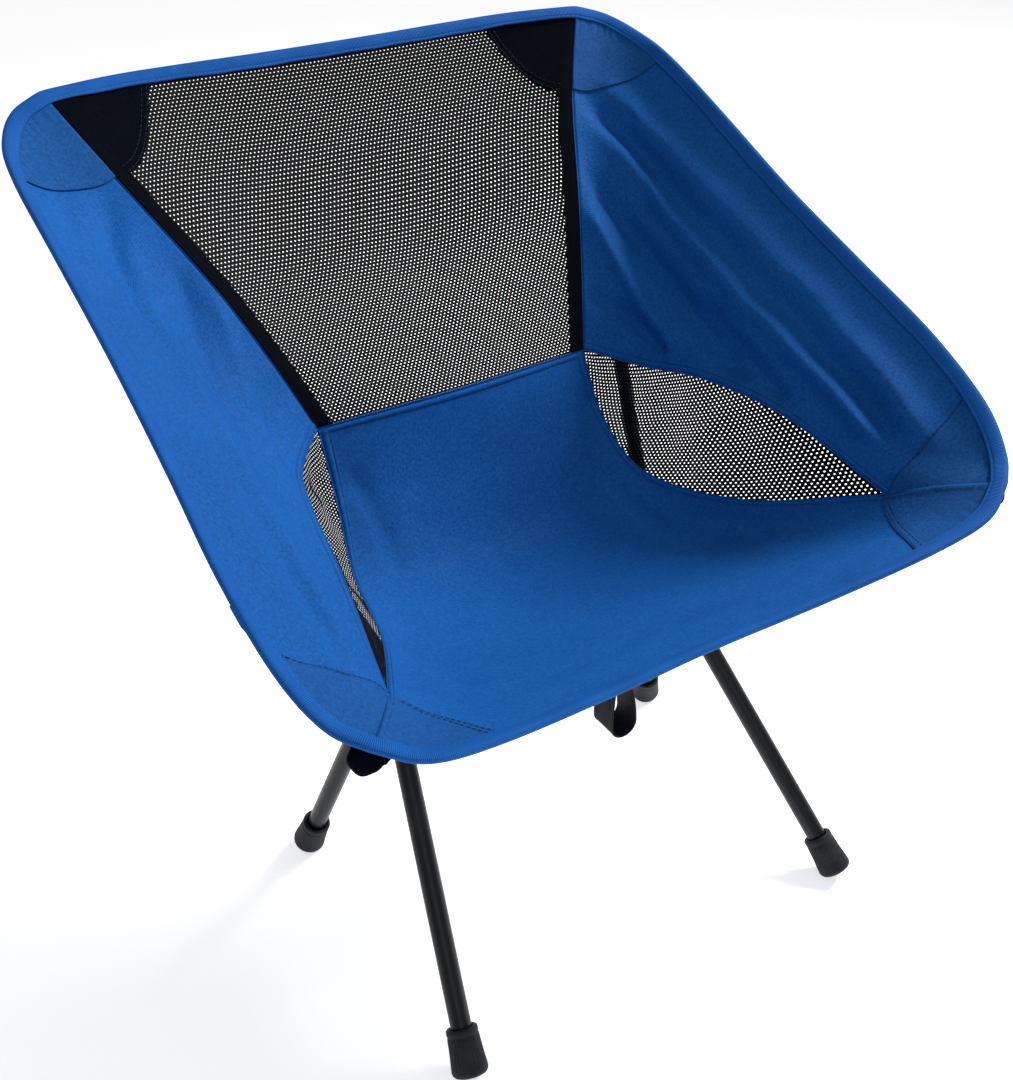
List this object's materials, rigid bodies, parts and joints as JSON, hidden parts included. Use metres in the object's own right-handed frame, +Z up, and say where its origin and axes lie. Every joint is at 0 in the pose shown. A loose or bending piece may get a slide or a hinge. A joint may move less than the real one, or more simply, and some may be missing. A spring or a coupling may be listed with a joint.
{
  "type": "folding camp chair",
  "caption": "Low ultralight backpacking chair: a shock-corded tube frame with two hubs and splayed legs carries a slung bucket seat with a mesh back and side vents.",
  "frame": {"origin": "on the ground, under the middle of the chair's overall box", "axes": "+X to the right wing seen from the front, the front faces -Y, +Z up"},
  "size_m": [0.5556, 0.5576, 0.6433],
  "materials": {
    "anodised_tube": "satin",
    "moulded_black": "matt, lightly grained",
    "steel_pin": "satin",
    "rubber": "matt",
    "cord": "braided",
    "bare_aluminium": "satin",
    "black_mesh": "matt net",
    "blue_cloth": "plain weave, low sheen",
    "black_cloth": "plain weave, matt",
    "webbing": "ribbed webbing"
  },
  "bodies": {
    "chair": {"hub_left": "moulded_black", "hub_right": "moulded_black", "cross_bar": "anodised_tube", "hub_pin_left": "steel_pin", "hub_pin_right": "steel_pin", "front_pole_left": "anodised_tube", "front_pole_right": "anodised_tube", "front_pole_tip_left": "moulded_black", "front_pole_tip_right": "moulded_black", "back_pole_lower_left": "anodised_tube", "back_pole_lower_right": "anodised_tube", "back_pole_upper_left": "anodised_tube", "back_pole_upper_right": "anodised_tube", "back_pole_ferrule_left": "bare_aluminium", "back_pole_ferrule_right": "bare_aluminium", "back_pole_tip_left": "moulded_black", "back_pole_tip_right": "moulded_black", "back_mesh": "black_mesh", "seat_panel": "blue_cloth", "side_panel_left": "blue_cloth", "side_panel_right": "blue_cloth", "vent_mesh_left": "black_mesh", "vent_mesh_right": "black_mesh", "edge_binding": "blue_cloth", "corner_patch_left": "black_cloth", "corner_patch_right": "black_cloth", "top_pocket_left": "blue_cloth", "top_pocket_right": "blue_cloth", "front_pocket_left": "blue_cloth", "front_pocket_right": "blue_cloth", "side_seam_tape_left": "black_cloth", "side_seam_tape_right": "black_cloth", "lumbar_seam_tape": "black_cloth", "front_pole_sleeve_left": "black_cloth", "front_pole_sleeve_right": "black_cloth", "back_pole_sleeve_left": "black_cloth", "back_pole_sleeve_right": "black_cloth", "loop_tab": "webbing"},
    "front_left_leg": {"leg_front_left": "anodised_tube", "foot_front_left": "rubber", "leg_plug_front_left": "moulded_black", "shock_cord_front_left": "cord"},
    "front_right_leg": {"leg_front_right": "anodised_tube", "foot_front_right": "rubber", "leg_plug_front_right": "moulded_black", "shock_cord_front_right": "cord"},
    "rear_left_leg": {"leg_rear_left": "anodised_tube", "foot_rear_left": "rubber", "leg_plug_rear_left": "moulded_black", "shock_cord_rear_left": "cord"},
    "rear_right_leg": {"leg_rear_right": "anodised_tube", "foot_rear_right": "rubber", "leg_plug_rear_right": "moulded_black", "shock_cord_rear_right": "cord"},
    "loop": {"webbing_loop": "webbing"}
  },
  "joints": [
    {"name": "front_left_leg_pull", "type": "slide", "parent": "chair", "child": "front_left_leg", "axis": [-0.1635, -0.6213, -0.7664], "range_m": [0, 0.03], "stiffness_N_per_m": 300, "springref_m": -0.012},
    {"name": "front_right_leg_pull", "type": "slide", "parent": "chair", "child": "front_right_leg", "axis": [0.1635, -0.6213, -0.7664], "range_m": [0, 0.03], "stiffness_N_per_m": 300, "springref_m": -0.012},
    {"name": "rear_left_leg_pull", "type": "slide", "parent": "chair", "child": "rear_left_leg", "axis": [-0.2237, 0.3791, -0.8979], "range_m": [0, 0.03], "stiffness_N_per_m": 300, "springref_m": -0.012},
    {"name": "rear_right_leg_pull", "type": "slide", "parent": "chair", "child": "rear_right_leg", "axis": [0.2237, 0.3791, -0.8979], "range_m": [0, 0.03], "stiffness_N_per_m": 300, "springref_m": -0.012},
    {"name": "webbing_loop_swing", "type": "hinge", "parent": "chair", "child": "loop", "pos_m": [0, -0.143, 0.2975], "axis": [0, 1, 0], "range_deg": [-60, 60]}
  ]
}
